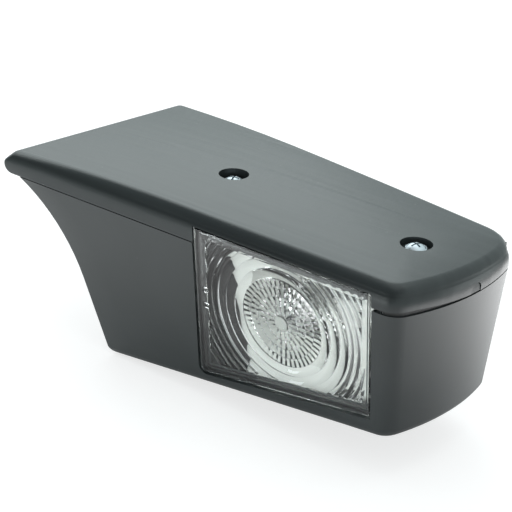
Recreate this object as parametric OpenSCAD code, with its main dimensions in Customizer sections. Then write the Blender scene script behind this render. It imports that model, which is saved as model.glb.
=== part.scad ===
// Cab roof marker lamp: a moulded housing with a concave roof end, a screwed lid, a clear optic
// and a bulb unit. Built in the lamp's own lines: x runs from the roof end to the outer end,
// y from the front ridge to the back, z up from the lid's flat top. placed() moves it all to the
// part's origin, the centre of the two roof screw holes on the outside of the concave wall.

/* [Body] */
// Length from the roof end line to the outer end, at the top
body_length = 211.8; // [205:0.1:225]
// Depth from the front ridge to the back, where depth_x measures it
body_depth = 82.5; // [78:0.5:92]
// Height from the lid's top to the heel of the floor
body_height = 89.2; // [86:0.1:96]
// Rise of the floor towards the outer end, in degrees
floor_slope = 7.2; // [5:0.1:9]
// Lean of the front face, in degrees
front_lean = 6.6; // [3:0.1:9]
// Lean of the outer end, in degrees
end_lean = 5.3; // [2:0.1:8]
// Lean of the back face, in degrees
back_lean = 2; // [1:0.1:4]
// Radius of the outer end, seen from above
end_r = 101.5; // [90:0.5:120]
// Radius of the back, seen from above
back_r = 3500; // [2500:50:5000]
// Turn of the back towards the front as it runs outward, in degrees
back_turn = 8.5; // [6:0.1:10]
// Wall of the housing
wall = 2.6; // [2.2:0.1:3]

/* [Edges] */
// Corner radius at the front of the outer end
corner_front = 8.8; // [7:0.1:11]
// Corner radius at the back of the outer end, at the seam
corner_back = 5; // [4:0.1:8]
// Corner radius at the back of the outer end, at the lid's top
corner_back_top = 19; // [14:0.5:22]
// Edge radius round the lid's top
edge_r = 3.6; // [3:0.1:4.5]
// Radius where the walls meet the floor
foot_r = 5.2; // [4.5:0.1:6.5]

/* [Roof end] */
// Radius of the concave end that sits on the cab roof
flare_r = 69; // [62:0.5:76]
// Slope of the concave end at the seam, in degrees
flare_start = 27; // [25:0.5:30]
// Slope of the straight flank below the arc, in degrees
flank_slope = 70.8; // [69:0.1:73]
// Sideways shift of the roof end for each unit of depth
roof_skew = 0.12; // [0.06:0.01:0.16]
// Reach of the lid's nose beyond the roof end line
nose_reach = 9.8; // [8.5:0.1:11]
// Radius of the nose tip
nose_r = 3.2; // [2.8:0.1:3.6]
// Slope of the nose above its tip, in degrees
nose_slope = 38; // [35:1:42]
// Droop of the lid's top at the roof end
crown = 3.1; // [2:0.1:3.5]

/* [Lid] */
// Height of the lid's skirt at the roof end
skirt_roof = 14.4; // [13.8:0.1:15.5]
// Height of the lid's skirt at the outer end
skirt_end = 12.9; // [12.4:0.1:14.5]
// Thickness of the lid's skirt
skirt_wall = 2.4; // [2:0.1:2.8]
// Thickness of the lid's top
lid_top = 2.6; // [2.2:0.1:3]
// Seam between lid and housing at the roof end
seam_roof = 0.4; // [0.3:0.1:0.8]
// Seam between lid and housing at the outer end
seam_end = 0.5; // [0.4:0.1:1]
// Lift of the lid's edge at the front corner of the outer end
corner_lift = 1.7; // [0:0.1:2]
// Depth of the stiffening ribs under the lid
lid_rib_depth = 4.5; // [3:0.5:5]

/* [Screws] */
// Distance of the inner lid screw from the roof end line
screw_inner_x = 88.6; // [84:0.1:92]
// Distance of the inner lid screw from the front ridge
screw_inner_y = 43.1; // [40:0.1:46]
// Distance of the outer lid screw from the outer end
screw_outer_in = 27.8; // [26:0.1:30]
// Distance of the outer lid screw from the front ridge
screw_outer_y = 38.1; // [36:0.1:41]
// Diameter of the recess over a lid screw
recess_d = 13; // [12:0.1:14]
// Depth of the recess over the inner lid screw
recess_inner_depth = 4.3; // [3.8:0.1:5]
// Depth of the recess over the outer lid screw
recess_outer_depth = 2.9; // [2.6:0.1:4]
// Diameter of a lid screw's shank
screw_d = 4.2; // [3.5:0.1:4.8]
// Length of a lid screw's shank
screw_length = 19; // [14:1:25]
// Diameter of a lid screw's head
screw_head_d = 8.4; // [7.5:0.1:9]
// Height of a lid screw's head
screw_head_h = 2.9; // [2.4:0.1:3.4]

/* [Roof fixing] */
// Distance between the two roof screw holes
roof_hole_pitch = 56; // [50:0.5:60]
// Diameter of a roof screw hole
roof_hole_d = 6.5; // [5.5:0.1:7]
// Slope of the wall where the roof screws pass, in degrees
roof_hole_slope = 45; // [42:0.5:47]
// Slope of the wall where the cable enters, in degrees
cable_slope = 61; // [59:0.5:63]
// Bore of the cable grommet
cable_bore_d = 6; // [4:0.1:7]

/* [Lens] */
// Width of the lens face
lens_width = 86.3; // [82:0.1:88]
// Distance from the lens to the outer end
lens_end_gap = 23; // [22:0.1:25]
// Drop from the lid's top to the lens, along the front face
lens_drop = 7; // [6:0.1:8]
// Height of the sill between floor and lens at its inner corner
lens_sill = 6.2; // [5:0.1:8]
// Rise of the lens's lower edge towards the outer end, in degrees
lens_rise = 9; // [7:0.1:10]
// Thickness of the lens face
lens_t = 2.5; // [2:0.1:3]
// Width of the clear border round the optic
lens_border = 4.6; // [3.5:0.1:6]
// Distance of the optic's centre from the lens's inner edge
optic_in = 43.1; // [42:0.1:45]
// Distance of the optic's centre below the lens's top edge
optic_down = 29.8; // [28:0.1:32]
// Radius of the fluted zone of the optic
flute_zone_r = 19.5; // [18:0.1:21]
// Width of one wide ring outside the fluted zone
ring_wide = 4.4; // [3.8:0.1:5]
// Width of one steep ring towards the corners
ring_steep = 3; // [2.5:0.1:3.4]
// Height of a flute and of a wide ring
step_h = 1.2; // [0.8:0.1:1.4]
// Height of a steep ring
steep_h = 2.2; // [1.6:0.1:2.4]
// Gap between the lens and its opening
lens_gap = 0.8; // [0.4:0.1:1.2]

/* [Bulb unit] */
// Distance from the front face to the reflector's flange
reflector_in = 9.4; // [9:0.1:12]
// Radius of the reflector's bowl at its mouth
bowl_r = 21; // [19:0.5:22]
// Focal length of the bowl
bowl_focus = 7.5; // [7:0.1:8.5]
// Wall of the reflector
reflector_wall = 1.8; // [1.5:0.1:2.2]
// Radius of the bulb's glass
bulb_r = 8; // [7.6:0.1:8.4]
// Outer radius of the bulb's cap
cap_r = 7.5; // [7.3:0.1:7.6]
// Diameter of a lead over its insulation
lead_d = 2.4; // [1.8:0.1:3]

/* [Hidden] */

// Steps of the outline's corners, long sides and outer end
corner_steps = 6;
side_steps = 10;
end_steps = 13;
// Where body_depth is measured, and where the outer end stands furthest out
depth_x = 143;
end_apex_y = 47.2;
// The roof end line's start under the seam, and the point where body_height is measured
flare_x = 1;
heel_x = 46.5;
// Length of the drooping part of the lid's top
crown_length = 90;
// Distance over which the lid's edge lifts towards its front corner
lift_reach = 38;
// Smallest radius left where a corner is offset inward
least_r = 0.6;
// Corner radii at the roof end, seen from above: lid front, lid back, housing front and back
nose_front_r = 2.5;
nose_back_r = 4.2;
flank_front_r = 0.6;
flank_back_r = 3;
// Clearances: a sliding fit, a fixed seat, and an air gap between mouldings
fit = 0.1;
seat = 0.05;
air = 0.4;
// Overlap of solids that are one moulding
merge = 0.5;
// Reach of a cut beyond the body it cuts
past = 5;

// Vector and outline functions
function unit(v) = v / norm(v);

// Arc of n + 1 points that rounds the corner q between p and s
function fillet(p, q, s, r, n) =
  let (u = unit(p - q))
  let (v = unit(s - q))
  let (half = acos(u * v) / 2)
  let (c = q + unit(u + v) * r / sin(half))
  let (a = q + u * r / tan(half) - c)
  let (b = q + v * r / tan(half) - c)
  let (start = atan2(a.y, a.x))
  let (turn = atan2(b.y, b.x) - start)
  let (sweep = turn > 180 ? turn - 360 : turn < -180 ? turn + 360 : turn)
  [for (i = [0:n]) c + r * [cos(start + sweep * i / n), sin(start + sweep * i / n)]];

// Crossing point of two circles, on the left of the line from the first to the second
function crossing(c1, r1, c2, r2) =
  let (w = c2 - c1)
  let (d = norm(w))
  let (a = (r1 * r1 - r2 * r2 + d * d) / (2 * d))
  let (h = sqrt(r1 * r1 - a * a))
  let (u = w / d)
  c1 + a * u + h * [-u.y, u.x];

// Smooth curve through the points p, with k steps between two of them
function smooth(p, k) =
  let (n = len(p) - 1)
  concat(
    [for (i = [0:n - 1]) for (j = [0:k - 1])
      let (t = j / k)
      let (a = p[max(i - 1, 0)])
      let (d = p[min(i + 2, n)])
      let (b = p[i])
      let (c = p[i + 1])
      0.5 * (2 * b + (c - a) * t + (2 * a - 5 * b + 4 * c - d) * t * t
        + (3 * b - a - 3 * c + d) * t * t * t)],
    [p[n]]);

// The body's faces
end_c = [body_length - end_r, end_apex_y];
back_c = [depth_x - back_r * sin(back_turn), body_depth - back_r * cos(back_turn)];

// Front face at height z, moved in by d
function front_y(z, d) = d - tan(front_lean) * z;

// Back face at x and height z, moved in by d
function back_y(x, z, d) =
  back_c.y + sqrt(pow(back_r - d + z * tan(back_lean), 2) - pow(x - back_c.x, 2));

// Closed outline in a sloping plane that has height zl at the roof end xl, moved in by d.
// The radii round the corners at the roof end's front and back and at the outer end's back.
function outline(zl, slope, xl, d, r_front, r_back, r_outer) =
  let (lean = tan(front_lean))
  let (zr = zl + slope * (body_length - xl))
  let (line = function (x) (d - lean * (zl + slope * (x - xl))) / (1 - lean * slope * roof_skew))
  let (yl = line(xl))
  let (re = end_r - d + zr * tan(end_lean))
  let (rb = back_r - d + zr * tan(back_lean))
  let (cf = max(least_r, corner_front - d))
  let (cb = max(least_r, r_outer - d))
  let (fy = line(body_length - corner_front) + cf)
  let (fx = end_c.x + sqrt(pow(re - cf, 2) - pow(fy - end_c.y, 2)))
  let (fa = atan2(fy - end_c.y, fx - end_c.x))
  let (bc = crossing(end_c, re - cb, back_c, rb - cb))
  let (ba = atan2(bc.y - end_c.y, bc.x - end_c.x))
  let (bt = atan2(bc.y - back_c.y, bc.x - back_c.x))
  let (bly = back_y(xl + roof_skew * body_depth, zl, d))
  let (blx = xl + roof_skew * bly)
  let (far = body_length / 4)
  let (fl = fillet(
    [xl + roof_skew * far, far], [xl + roof_skew * yl, yl], [xl + far, line(xl + far)],
    r_front, corner_steps))
  let (bl = fillet(
    [xl + far, back_y(xl + far, zl, d)], [blx, bly], [xl + roof_skew * far, far],
    r_back, corner_steps))
  let (x0 = fl[corner_steps].x)
  let (x2 = bc.x + cb * cos(bt))
  let (x3 = bl[0].x)
  concat(
    fl,
    [for (i = [1:side_steps - 1]) let (x = x0 + (fx - x0) * i / side_steps) [x, line(x)]],
    [for (i = [0:corner_steps]) let (a = -90 + (fa + 90) * i / corner_steps)
      [fx, fy] + cf * [cos(a), sin(a)]],
    [for (i = [1:end_steps - 1]) let (a = fa + (ba - fa) * i / end_steps)
      end_c + re * [cos(a), sin(a)]],
    [for (i = [0:corner_steps]) let (a = ba + (bt - ba) * i / corner_steps)
      bc + cb * [cos(a), sin(a)]],
    [for (i = [1:side_steps - 1]) let (x = x2 + (x3 - x2) * i / side_steps)
      [x, back_y(x, zl + slope * (x - xl), d)]],
    bl);

// Two triangles for each four-sided face
function split(quads) = [for (q = quads) for (t = [[q[2], q[1], q[0]], [q[3], q[2], q[0]]]) t];

// Solid through a stack of rings that all have the same even number of points
module loft(rings) {
  n = len(rings[0]);
  m = len(rings);
  sides = [for (j = [0:m - 2]) for (i = [0:n - 1])
    [j * n + i, j * n + (i + 1) % n, (j + 1) * n + (i + 1) % n, (j + 1) * n + i]];
  first = [for (i = [0:n / 2 - 2]) [i, n - 1 - i, n - 2 - i, i + 1]];
  last = [for (i = [0:n / 2 - 2]) [i + 1, n - 2 - i, n - 1 - i, i] + (m - 1) * n * [1, 1, 1, 1]];
  polyhedron([for (r = rings) for (p = r) p], split(concat(sides, first, last)));
}

// Closed band through four-point sections that run once round
module band(sections) {
  n = len(sections);
  sides = [for (i = [0:n - 1]) for (j = [0:3])
    [i * 4 + j, i * 4 + (j + 1) % 4, (i + 1) % n * 4 + (j + 1) % 4, (i + 1) % n * 4 + j]];
  polyhedron([for (s = sections) for (p = s) p], split(sides));
}

// Round rod of radius r along a path, whose direction never comes near that of side
module rod(path, r, sides, side) {
  n = len(path);
  loft([for (i = [0:n - 1])
    let (d = unit(path[min(i + 1, n - 1)] - path[max(i - 1, 0)]))
    let (u = unit(cross(side, d)))
    let (v = cross(d, u))
    [for (k = [0:sides - 1]) path[i] + r * (cos(360 * k / sides) * u + sin(360 * k / sides) * v)]]);
}

// Heights of the seam: the lid's lower edge and the housing's rim
function lid_edge_z(x) = -skirt_roof + (skirt_roof - skirt_end) * x / body_length;
function rim_z(x) = lid_edge_z(x) - seam_roof - (seam_end - seam_roof) * x / body_length;
function lift(x, y) =
  corner_lift * pow(max(0, 1 - norm([x - body_length + corner_front, y - corner_front]) / lift_reach), 1.5);
function top_z(x) = -crown * pow(max(0, crown_length - x) / crown_length, 2);

// The concave roof end: point and height at slope a, moved in by d
function flare(a, d) =
  [flare_x + flare_r * (sin(a) - sin(flare_start)), rim_z(0) + flare_r * (cos(a) - cos(flare_start))]
  + d * [sin(a), cos(a)];

// The floor's height at x, moved in by d
function floor_z(x, d) = -body_height + tan(floor_slope) * (x - heel_x) + d / cos(floor_slope);

// Rings of the housing from floor to rim, moved in by d
function housing_rings(d) =
  let (r = max(1, foot_r - d))
  let (top = flare(flank_slope, d))
  let (turn = flank_slope + floor_slope)
  let (high = (top - [heel_x, floor_z(heel_x, d)]) * [-sin(floor_slope), cos(floor_slope)])
  let (down = (high - r * (1 - cos(turn))) / sin(turn))
  let (foot = top + down * [cos(flank_slope), -sin(flank_slope)])
  let (foot_end = floor_z(body_length, d) + r * (1 - cos(turn)) / cos(floor_slope))
  let (share = (foot_end - rim_z(body_length)) / (foot.y - rim_z(0)))
  let (steps = 6)
  let (side = concat(
    [for (i = [0:steps])
      let (a = turn * i / steps)
      let (p = foot + r * [sin(flank_slope) + sin(floor_slope - a), cos(flank_slope) - cos(floor_slope - a)])
      [p, floor_z(body_length, d) + r * (1 - cos(a)) / cos(floor_slope), d + r * (sin(turn) - sin(a))]],
    [for (i = [0:10])
      let (p = flare(flank_slope + (flare_start - flank_slope) * i / 10, d))
      [p, rim_z(body_length) + (p.y - rim_z(0)) * share, d]]))
  [for (s = side)
    let (xl = s[0].x)
    let (zl = s[0].y)
    let (slope = (s[1] - zl) / (body_length - xl))
    [for (q = outline(zl, slope, xl, s[2], flank_front_r, flank_back_r, corner_back))
      [q.x, q.y, zl + slope * (q.x - roof_skew * q.y - xl)]]];

// The lid's nose: how far out the lid starts at height z
droop = top_z(0);
nose_c = [nose_r - nose_reach, nose_r - skirt_roof];
ramp_low = nose_c + nose_r * [-sin(nose_slope), cos(nose_slope)];
ramp_top_z = droop - edge_r * (1 - cos(nose_slope));
ramp_top = [ramp_low.x + (ramp_top_z - ramp_low.y) / tan(nose_slope), ramp_top_z];
function nose_x(z) =
  z < ramp_low.y ? nose_c.x - sqrt(max(0, nose_r * nose_r - pow(z - nose_c.y, 2)))
  : z < ramp_top.y ? ramp_low.x + (z - ramp_low.y) / tan(nose_slope)
  : ramp_top.x + edge_r * sin(nose_slope) - sqrt(max(0, edge_r * edge_r - pow(z - droop + edge_r, 2)));

// Rings of the lid's outside, from its lower edge over the rounded edge to the top
function lid_rings() =
  let (tip = nose_r * (1 + cos(nose_slope)))
  let (high = droop - edge_r + skirt_roof)
  concat(
    [for (k = [0, 0.04, 0.12, 0.27, 0.45, 0.65, 0.85, 1])
      let (u = k * tip / high)
      let (zl = -skirt_roof + k * tip)
      let (xl = nose_x(zl))
      let (zr = -skirt_end + (skirt_end - edge_r) * u)
      let (r = corner_back + (corner_back_top - corner_back) * u * u)
      [for (q = outline(zl, (zr - zl) / (body_length - xl), xl, 0, nose_front_r, nose_back_r, r))
        [q.x, q.y, (lid_edge_z(q.x) + lift(q.x, q.y)) * (1 - u) + (top_z(max(0, q.x)) - edge_r) * u]]],
    [for (a = [0:15:90])
      let (d = edge_r * (1 - cos(a)))
      let (k = edge_r * (1 - sin(a)))
      let (zl = droop - k)
      let (xl = nose_x(zl))
      let (front = max(least_r, nose_front_r - d))
      let (back = max(least_r, nose_back_r - d))
      [for (q = outline(zl, -zl / body_length, xl, d, front, back, corner_back_top))
        [q.x, q.y, top_z(max(0, q.x)) - k]]]);

// Rings of the lid's hollow, which follows the nose's slope at the roof end
function lid_hollow_rings() =
  let (z0 = -skirt_roof - 1)
  let (z2 = droop - lid_top)
  let (x_tip = skirt_wall - nose_reach)
  let (ramp = function (z) ramp_low.x + (z - ramp_low.y) / tan(nose_slope) + skirt_wall / sin(nose_slope))
  let (z1 = min(z2 - 1, ramp_low.y + (x_tip - ramp_low.x - skirt_wall / sin(nose_slope)) * tan(nose_slope)))
  [for (p = [[z0, x_tip], [z1, x_tip], [z2, max(x_tip, ramp(z2))]])
    let (u = (p[0] - z0) / (z2 - z0))
    let (zr = (-skirt_end - 1) * (1 - u) - lid_top * u)
    let (r = corner_back + (corner_back_top - corner_back) * u)
    [for (q = outline(p[0], (zr - p[0]) / (body_length - p[1]), p[1], skirt_wall, least_r, nose_back_r, r))
      [q.x, q.y, (lid_edge_z(q.x) - 1) * (1 - u) + (top_z(max(0, q.x)) - lid_top) * u]]];

// The lens and what seats it, drawn on the front face: x, height on the face, then outward
lens_x1 = body_length - lens_end_gap;
lens_x0 = lens_x1 - lens_width;
lens_bottom = (floor_z(lens_x0, 0) + lens_sill) / cos(front_lean);
lens_corner = 3;
lens_flush = 0.2;
flange_out = 3;
flange_t = 1.6;
seal_t = 1.2;
channel_t = 1.8;
optic = [lens_x0 + optic_in, -lens_drop - optic_down];
flange_face = wall + fit;
flange_back = flange_face + flange_t;
seal_back = flange_back + seal_t;
channel_back = seal_back + channel_t;

module on_front() {
  rotate([90 + front_lean, 0, 0]) children();
}

// Outline of the lens moved out by e, with its top edge at height top
function lens_points(e, top) =
  let (x0 = lens_x0 - e)
  let (x1 = lens_x1 + e)
  let (low = function (x) lens_bottom - e + tan(lens_rise) * (x - lens_x0))
  concat(
    [[x0, top]],
    fillet([x0, top], [x0, low(x0)], [x1, low(x1)], max(least_r, lens_corner + e), corner_steps),
    fillet([x0, low(x0)], [x1, low(x1)], [x1, top], least_r, 2),
    [[x1, top]]);

// Slab of the lens's outline between two depths behind the front face
module lens_slab(e, top, from, to) {
  translate([0, 0, -to]) linear_extrude(to - from) polygon(lens_points(e, top));
}

// Places along the lens's own axes, with z pointing back into the lamp from the front face
module on_optic() {
  on_front() translate([optic.x, optic.y, 0]) mirror([0, 0, 1]) children();
}

// The concave wall at slope a, at mid depth: z points into the housing, y along the roof end
wall_mid_y = 47;
function wall_tilt(a) = atan2(sin(a) * sqrt(1 + roof_skew * roof_skew), cos(a));
function wall_place(a) =
  let (p = flare(a, 0))
  [p.x + roof_skew * wall_mid_y, wall_mid_y, p.y];
module on_wall(a) {
  translate(wall_place(a)) rotate([0, 0, -atan(roof_skew)]) rotate([0, wall_tilt(a), 0]) children();
}

module placed() {
  translate(-wall_place(roof_hole_slope)) children();
}

// Places of the two lid screws
screws = [[screw_inner_x, screw_inner_y], [body_length - screw_outer_in, screw_outer_y]];
boss_wall = 2;
boss_floor = 2.4;
recess_depths = [recess_inner_depth, recess_outer_depth];
boss_ends = [for (d = recess_depths) d + boss_floor];
post_r = 4.8;
pilot_depth = screw_length - boss_floor + 4;

// Lid
tab_width = 12;
tab_t = 1.6;
tab_reach = 3;
tab_gap = 0.5;

// Locating tab that hangs inside the housing's wall; y points outward, with 0 on the wall's outside
module lid_tab(x, lean) {
  edge = -lid_edge_z(x);
  inner = wall + tab_gap + tan(lean) * tab_reach;
  translate([-tab_width / 2, -inner - tab_t, -edge + merge])
    cube([tab_width, inner + tab_t - skirt_wall + merge, edge - lid_top]);
  translate([-tab_width / 2, -inner - tab_t, -edge - tab_reach])
    cube([tab_width, tab_t, edge + tab_reach - lid_top]);
}

module lid_tabs() {
  for (x = [screw_inner_x - 56, screw_inner_x - 16])
    translate([x, front_y(lid_edge_z(x), 0), 0]) rotate([0, 0, 180]) lid_tab(x, front_lean);
  for (x = [screw_inner_x - 50, screw_inner_x, screws[1].x - 50, screws[1].x])
    translate([x, back_y(x, lid_edge_z(x), 0), 0]) rotate([0, 0, -back_turn]) lid_tab(x, back_lean);
  for (a = [-9, 9])
    translate([end_c.x, end_c.y, 0]) rotate([0, 0, a - 90])
      translate([0, end_r - skirt_end * tan(end_lean), 0]) lid_tab(body_length, end_lean);
}

lid_rib_t = 1.4;
lid_rib_pitch = 38;
module lid_ribs() {
  end_in = body_length - 3 * skirt_wall;
  for (y = [screw_outer_y - lid_rib_pitch / 2, screw_outer_y + lid_rib_pitch / 2]) {
    run = min(end_in, body_length - abs(y - end_apex_y) / 2);
    start = crown_length / 6;
    translate([start, y - lid_rib_t / 2, -lid_top - lid_rib_depth])
      cube([run - start, lid_rib_t, lid_rib_depth + top_z(start) + merge]);
  }
  for (x = [screws[0].x - 44, screws[0].x, (screws[0].x + screws[1].x) / 2, screws[1].x]) {
    y0 = front_y(-lid_top - lid_rib_depth, channel_back + channel_t);
    y1 = back_y(x, -lid_top - lid_rib_depth, skirt_wall) + merge;
    translate([x - lid_rib_t / 2, y0, -lid_top - lid_rib_depth])
      cube([lid_rib_t, y1 - y0, lid_rib_depth + top_z(x) + merge]);
  }
}

// Room in the lid for the lens's top, its flange and its seal
module lid_lens_room() {
  on_front() {
    lens_slab(air, -lens_drop + air, -past, flange_face);
    lens_slab(flange_out + air, -lens_drop + flange_out + air, wall - fit, seal_back + fit);
  }
}

// Rib that backs the lens's seal from behind
module lid_lens_rib() {
  reach = 6;
  on_front()
    translate([lens_x0 + lens_border, -lens_drop - reach, -channel_back])
      cube([lens_width - 2 * lens_border, reach + lens_drop - lid_top + merge / 2, channel_t]);
}

// Shallow arched mark of the moulding gate, just above the seam on the outer end
gate_angle = -3.5;
gate_depth = 0.25;
gate_r = 3.1;
gate_rise = 1.1;
module gate_mark() {
  translate([end_c.x, end_c.y, lid_edge_z(body_length)]) rotate([0, 0, gate_angle])
    translate([end_r - skirt_end * tan(end_lean) - gate_depth, 0, 0]) rotate([90, 0, 90])
      linear_extrude(past) {
        translate([0, gate_rise]) circle(r = gate_r, $fn = 48);
        translate([-gate_r, -past]) square([2 * gate_r, past + gate_rise]);
      }
}

module lid() {
  color([0.27, 0.29, 0.29]) placed() difference() {
    union() {
      difference() {
        loft(lid_rings());
        loft(lid_hollow_rings());
        lid_lens_room();
      }
      lid_tabs();
      lid_ribs();
      lid_lens_rib();
      for (i = [0, 1]) translate([screws[i].x, screws[i].y, -boss_ends[i]])
        cylinder(d = recess_d + 2 * boss_wall, h = boss_ends[i] - merge, $fn = 64);
    }
    for (i = [0, 1]) translate(screws[i]) {
      translate([0, 0, -recess_depths[i]]) cylinder(d = recess_d, h = recess_depths[i] + past, $fn = 64);
      translate([0, 0, -boss_ends[i] - past])
        cylinder(d = screw_d + air, h = boss_ends[i] + 2 * past, $fn = 48);
      translate([0, 0, -boss_ends[i] - past]) cylinder(r = post_r + air, h = past, $fn = 48);
    }
    gate_mark();
  }
}

// Pan head screw that stands on z = 0 with a cross recess, its shank pointing down
module pan_screw(d, length, head_d, head_h) {
  rim = head_h * 0.45;
  slot = d * 0.2;
  difference() {
    union() {
      cylinder(d = head_d, h = rim, $fn = 48);
      translate([0, 0, rim]) rotate_extrude($fn = 48)
        intersection() {
          translate([0, head_h - rim - head_d * 0.7]) circle(r = head_d * 0.7, $fn = 96);
          square([head_d / 2, head_h]);
        }
    }
    for (a = [0, 90]) rotate([0, 0, a])
      translate([-head_d * 0.28, -slot / 2, head_h * 0.4]) cube([head_d * 0.56, slot, head_h]);
  }
  translate([0, 0, -length + d / 2]) cylinder(d = d, h = length - d / 2 + merge, $fn = 48);
  translate([0, 0, -length]) cylinder(d1 = d * 0.3, d2 = d, h = d / 2, $fn = 48);
}

screw_turns = [20, 70];
module lid_screws() {
  color([0.78, 0.79, 0.8]) placed()
    for (i = [0, 1])
      translate([screws[i].x, screws[i].y, -recess_depths[i]]) rotate([0, 0, screw_turns[i]])
        pan_screw(screw_d, screw_length, screw_head_d, screw_head_h);
}

// Strip that fills the seam, left out where the lens passes
seal_out = 0.9;
seal_in = 2.3;
seal_follow = 0.75;
function seal_line(d) =
  outline(rim_z(0), (rim_z(body_length) - rim_z(0)) / body_length, flare_x + d, d,
    flank_front_r, flank_back_r, corner_back);
module lid_seal() {
  edge = seal_line(seal_out);
  back = seal_line(seal_in);
  top = function (p) lid_edge_z(p.x) + seal_follow * lift(p.x, p.y);
  color([0.05, 0.05, 0.05]) placed() difference() {
    band([for (k = [0:len(edge) - 1])
      let (o = edge[k])
      let (i = back[k])
      [[o.x, o.y, rim_z(o.x)], [i.x, i.y, rim_z(i.x)], [i.x, i.y, top(i)], [o.x, o.y, top(o)]]]);
    on_front() lens_slab(flange_out + channel_t + air, past, -past, 3 * past);
  }
}

// Lens
wide_rings = 3;
steep_rings = 5;
optic_steps = concat(
  [for (i = [0:wide_rings]) flute_zone_r + ring_wide * i],
  [for (i = [1:steep_rings]) flute_zone_r + ring_wide * wide_rings + ring_steep * i]);
flute_edges = flute_zone_r * [0.19, 0.4, 0.6, 0.8, 1];
flute_counts = [16, 24, 36, 48];
flute_groove = 0.1;
flute_depth = 0.25;
arc_steps = 4;

// Profile of the rounded steps, each of which starts with a riser and falls to a tenth of its height
function step_profile() = [
  for (i = [0:len(optic_steps) - 2])
    let (h = i < wide_rings ? step_h : steep_h)
    let (r = optic_steps[i])
    let (w = optic_steps[i + 1] - r)
    for (k = [0:arc_steps])
      let (t = k / arc_steps)
      [r + w * t, h * (1 - 0.9 * pow(t, 1.6))]];

// Steps of the optic outside the fluted zone, and the plain dome at its centre
module optic_rings() {
  last = optic_steps[len(optic_steps) - 1];
  rotate_extrude($fn = 128) polygon(concat([[flute_zone_r, -merge]], step_profile(), [[last, -merge]]));
  rotate_extrude($fn = 64) intersection() {
    translate([0, step_h - 3 * flute_edges[0]]) circle(r = 3 * flute_edges[0], $fn = 128);
    translate([0, -merge]) square([flute_edges[0], step_h + merge]);
  }
}

// One zone of radial flutes between two radii
module flute_zone(r0, r1, count) {
  band([for (i = [0:2 * count - 1])
    let (a = 180 * i / count)
    let (dip = i % 2 * flute_depth)
    let (u = [cos(a), sin(a)])
    [[u.x * r1, u.y * r1, -merge], [u.x * r0, u.y * r0, -merge],
     [u.x * r0, u.y * r0, step_h - dip], [u.x * r1, u.y * r1, step_h * 0.5 - dip]]]);
}

// Round marks of the mould's ejector pins and the two latch ribs, measured from the lens's top inner corner
pin_marks = [[2.6, -17.4], [2.6, -48.6], [19.2, -62.8], [70.1, -54.9]];
pin_mark_r = 2.5;
pin_mark_depth = 0.15;
latch_ribs = [-28.65, -35.95];
latch_rib_r = 1.2;
lens_rebate = 2.2;

module lens() {
  top = -lens_drop;
  color([0.86, 0.89, 0.9, 0.45]) placed() {
    difference() {
      on_front() union() {
        lens_slab(0, top, lens_flush, flange_back);
        lens_slab(flange_out, top + flange_out, flange_face, flange_back);
      }
      on_front() lens_slab(-lens_rebate, top - lens_rebate, lens_flush + lens_t, flange_back + 1);
      on_front() for (m = pin_marks)
        translate([lens_x0 + m.x, top + m.y, -lens_flush - pin_mark_depth])
          cylinder(r = pin_mark_r, h = 1, $fn = 32);
    }
    on_front() for (v = latch_ribs)
      translate([lens_x0 + lens_rebate - merge, top + v, -lens_flush - lens_t]) rotate([0, 90, 0])
        cylinder(r = latch_rib_r, h = lens_border - lens_rebate + 2 * merge, $fn = 24);
    intersection() {
      on_optic() translate([0, 0, lens_flush + lens_t]) {
        optic_rings();
        for (i = [0:3])
          flute_zone(flute_edges[i] + flute_groove, flute_edges[i + 1] - flute_groove, flute_counts[i]);
      }
      on_front() lens_slab(-lens_border, top - lens_border, 0, channel_back);
    }
  }
}

module lens_seal() {
  top = -lens_drop;
  color([0.07, 0.07, 0.07]) placed() on_front() difference() {
    lens_slab(flange_out - fit, top + flange_out - fit, flange_back, seal_back);
    lens_slab(-0.4, top - 0.4, flange_back - 1, seal_back + 1);
  }
}

// Lengths from the focus to the bayonet pins, and from the pins to the cap's two ends
focus_to_pins = 19;
pins_to_front = 7.5;
pins_to_back = 6.5;
sleeve_spare = 9;
neck_length = 8;

// Reflector: bowl, flange, neck for the bulb holder and a foot on the floor
bowl_deep = bowl_r * bowl_r / (4 * bowl_focus);
bowl_vertex = reflector_in + bowl_deep;
focus_in = bowl_vertex - bowl_focus;
pin_in = focus_in + focus_to_pins;
cap_front = pin_in - pins_to_front;
cap_back = pin_in + pins_to_back;
pin_reach = cap_r + 1;
sleeve_r = cap_r + 0.25;
sleeve_t = 0.5;
sleeve_end = cap_back + sleeve_spare;
neck_step = pin_in + 3;
neck_end = neck_step + neck_length;
neck_r = sleeve_r + sleeve_t + 0.6;
foot_pitch = 36;
foot_t = 2.5;
foot_in = pin_in - 4;
foot_y = front_y(optic.y, foot_in);
foot_z = floor_z(optic.x + foot_pitch / 2, wall) + 4;
foot_screw_d = 2.9;
foot_screw_l = 7;
foot_screw_head = 5.6;
foot_screw_head_t = 2.1;

module reflector_bowl() {
  n = 9;
  r_low = neck_r;
  curve = function (r) r * r / (4 * bowl_focus);
  inner = [for (i = [0:n]) let (r = bowl_r + (r_low - bowl_r) * i / n) [r, bowl_vertex - curve(r)]];
  outer = [for (i = [0:n]) let (r = r_low + (bowl_r - r_low) * i / n)
    [r + reflector_wall, bowl_vertex - curve(r) + reflector_wall * 0.6]];
  rotate_extrude($fn = 96) polygon(concat(
    inner,
    [[neck_r, neck_step], [sleeve_r + sleeve_t + seat, neck_step], [sleeve_r + sleeve_t + seat, neck_end],
     [neck_r + reflector_wall, neck_end]],
    outer,
    [[bowl_r + reflector_wall, reflector_in]]));
}

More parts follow.
